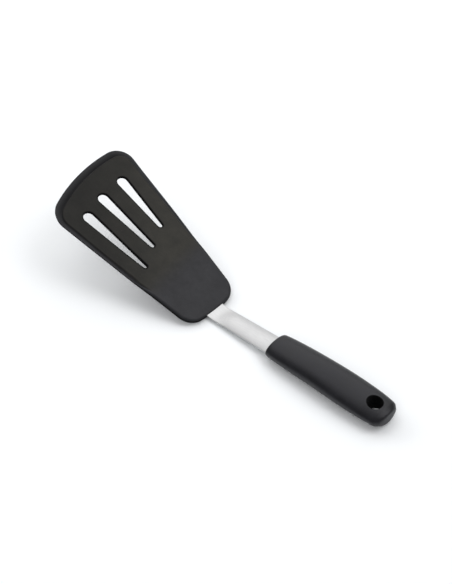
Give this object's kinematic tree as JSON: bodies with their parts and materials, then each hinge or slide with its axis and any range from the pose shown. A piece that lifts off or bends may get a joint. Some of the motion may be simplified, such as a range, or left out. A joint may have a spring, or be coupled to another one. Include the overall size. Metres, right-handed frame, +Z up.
{
  "type": "slotted spatula",
  "caption": "Kitchen turner: a wide thin head with drain slots and a soft lip, set at an angle on a crowned steel neck, with an oval soft-grip handle and a hanging hole.",
  "frame": {"origin": "on the surface that the spatula lies on, under the middle of its outer box", "axes": "+X along the handle to the hanging hole's end, -X to the head, +Y to the right of someone who holds it, +Z up"},
  "size_m": [0.3094, 0.0884, 0.0562],
  "materials": {
    "head_silicone": "satin moulded silicone, warm charcoal",
    "spring_steel": "rolled spring steel",
    "rivet_steel": "plain rivet steel",
    "neck_steel": "finely brushed along its length",
    "core_plastic": "plain moulded nylon",
    "grip_rubber": "matte soft-touch elastomer, charcoal"
  },
  "bodies": {
    "root": {"silicone_head": "head_silicone", "core_plate": "spring_steel", "left_rivet": "rivet_steel", "right_rivet": "rivet_steel", "steel_neck": "neck_steel", "handle_core": "core_plastic", "soft_grip": "grip_rubber"}
  },
  "joints": []
}
